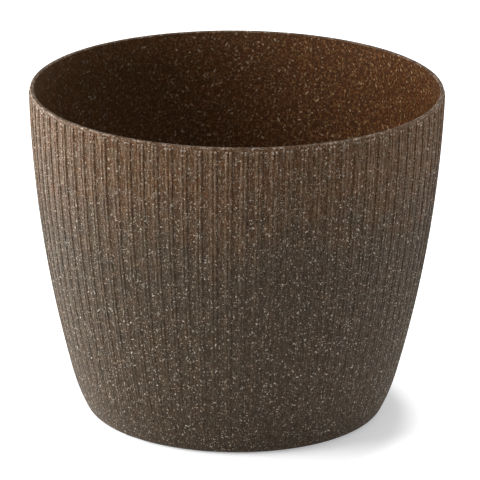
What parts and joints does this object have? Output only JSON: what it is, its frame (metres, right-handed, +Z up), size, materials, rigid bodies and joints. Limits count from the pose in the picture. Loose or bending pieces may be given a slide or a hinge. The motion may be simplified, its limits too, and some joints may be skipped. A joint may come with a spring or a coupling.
{
  "type": "plant pot cover",
  "caption": "Round plastic cachepot with a bowed wall, a plain thin lip, fine upright ribs outside, a smooth inside and a foot ring.",
  "frame": {"origin": "on the pot's axis, at the level of the flat foot ring that it stands on", "axes": "+Z up along the pot's axis, towards its open mouth; the pot is round, so X and Y point to no feature, and -Y is the side that the picture shows"},
  "size_m": [0.1948, 0.1948, 0.1575],
  "materials": {
    "wood_filled_plastic": "matte dark brown moulded plastic with short tan wood fibres and specks all through it"
  },
  "bodies": {
    "root": {"cachepot_shell": "wood_filled_plastic"}
  },
  "joints": []
}
